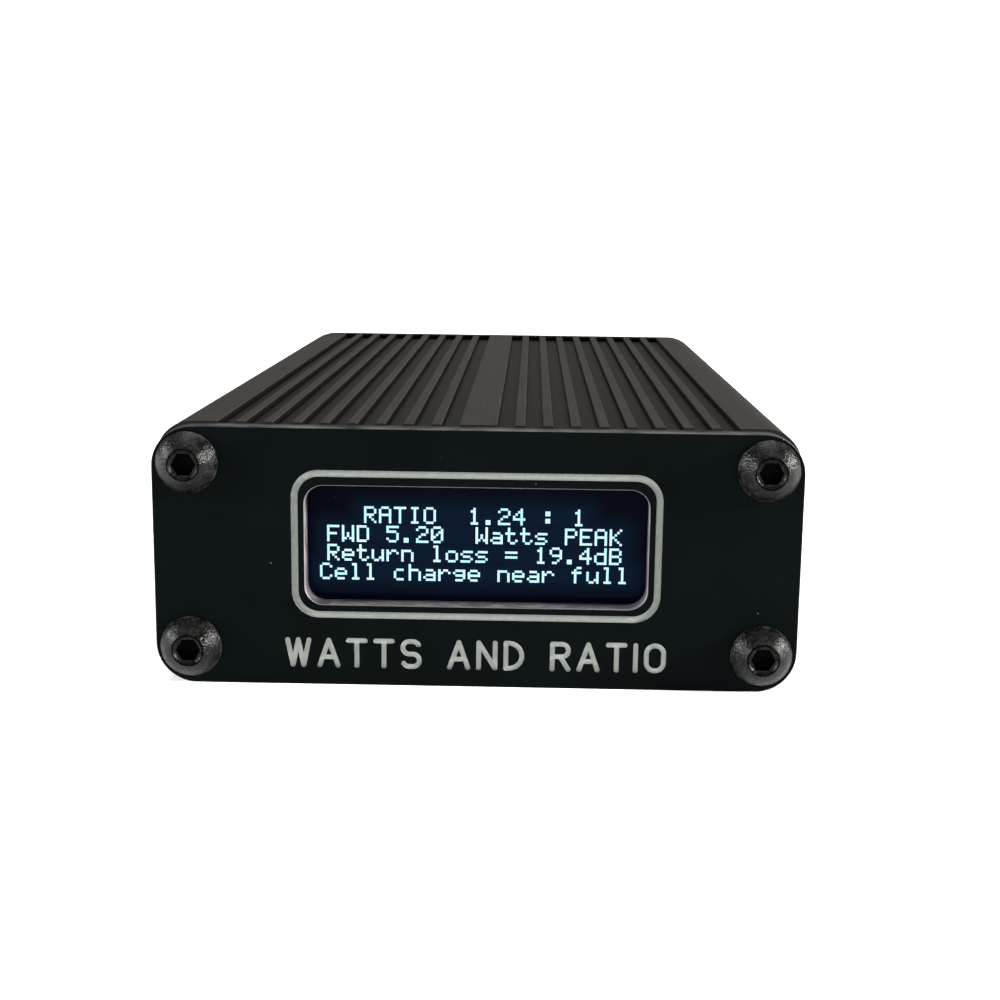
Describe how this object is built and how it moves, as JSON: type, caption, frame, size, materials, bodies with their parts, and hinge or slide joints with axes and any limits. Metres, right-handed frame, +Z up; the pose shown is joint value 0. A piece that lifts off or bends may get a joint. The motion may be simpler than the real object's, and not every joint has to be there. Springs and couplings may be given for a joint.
{
  "type": "swr meter",
  "caption": "Pocket SWR and RF power meter: ribbed black extruded case, screwed end plates, small dot-matrix display in front, bayonet RF jacks, charging socket and slide switch behind.",
  "frame": {"origin": "bottom centre of the case, on the face it rests on, midway between the end plates", "axes": "+X right seen from the display, +Y from the display towards the RF jacks, +Z up"},
  "size_m": [0.045, 0.091, 0.0184],
  "materials": {
    "black_anodised_case": "black satin anodised extrusion with fine die lines along its length",
    "black_anodised_plate": "black satin anodised plate; engraved lines and cut window walls are bare metal",
    "black_oxide_steel": "black oxide, satin, slightly oily",
    "nickel_plate": "bright nickel plate over turned brass",
    "plated_steel": "pressed steel, plated",
    "tinned_metal": "tinned",
    "gold_plate": "thin gold plate",
    "white_insulator": "turned fluoropolymer, waxy white",
    "white_moulding": "moulded nylon, off-white",
    "black_moulding": "moulded plastic, fine texture",
    "brown_laminate": "paper laminate",
    "green_board": "green solder resist over glass laminate",
    "blue_board": "blue solder resist over glass laminate",
    "chip_black": "moulded epoxy",
    "capacitor_tan": "fired dielectric with tinned ends",
    "ferrite_grey": "sintered ferrite",
    "enamelled_copper": "copper wire under clear enamel",
    "black_foam": "black foam tape",
    "amber_film": "amber polyimide film",
    "cell_pouch": "silver laminated pouch",
    "red_insulation": "red wire insulation",
    "display_glass": "dark display glass under a polariser",
    "display_cap": "frosted rear glass cap",
    "lit_dots": "lit display dots, cold white"
  },
  "bodies": {
    "case": {"lower_shell": "black_anodised_case", "upper_shell": "black_anodised_case", "front_plate": "black_anodised_plate", "rear_plate": "black_anodised_plate", "front_plate_screws": "black_oxide_steel", "rear_plate_screws": "black_oxide_steel", "rf_input_jack": "nickel_plate", "rf_output_jack": "nickel_plate", "rf_input_insulator": "white_insulator", "rf_output_insulator": "white_insulator", "rf_input_contact": "gold_plate", "rf_output_contact": "gold_plate", "jack_lock_washers": "plated_steel", "jack_nuts": "nickel_plate", "charge_socket_shell": "plated_steel", "charge_socket_core": "black_moulding", "charge_socket_contacts": "gold_plate", "switch_cover": "plated_steel", "switch_base": "brown_laminate", "switch_terminals": "tinned_metal", "main_board": "green_board", "microcontroller": "chip_black", "microcontroller_legs": "tinned_metal", "detector_amplifier": "chip_black", "detector_amplifier_legs": "tinned_metal", "charge_controller": "chip_black", "charge_controller_legs": "tinned_metal", "voltage_regulator": "chip_black", "voltage_regulator_legs": "tinned_metal", "resistors": "chip_black", "capacitors": "capacitor_tan", "detector_diodes": "chip_black", "forward_core": "ferrite_grey", "reflected_core": "ferrite_grey", "forward_winding": "enamelled_copper", "reflected_winding": "enamelled_copper", "through_lines": "tinned_metal", "display_gasket": "black_foam", "display_glass": "display_glass", "display_rear_cap": "display_cap", "display_driver": "chip_black", "display_carrier_tape": "black_foam", "display_flex": "amber_film", "display_carrier": "blue_board", "display_header": "black_moulding", "display_pins": "gold_plate", "cell_tape": "black_foam", "cell": "cell_pouch", "cell_protection_strip": "amber_film", "cell_plug": "white_moulding", "cell_socket": "white_moulding", "cell_leads": "red_insulation"},
    "power_switch": {"switch_lever": "black_moulding"}
  },
  "joints": [
    {"name": "power_switch_slide", "type": "slide", "parent": "case", "child": "power_switch", "axis": [1, 0, 0], "range_m": [0, 0.002]}
  ]
}
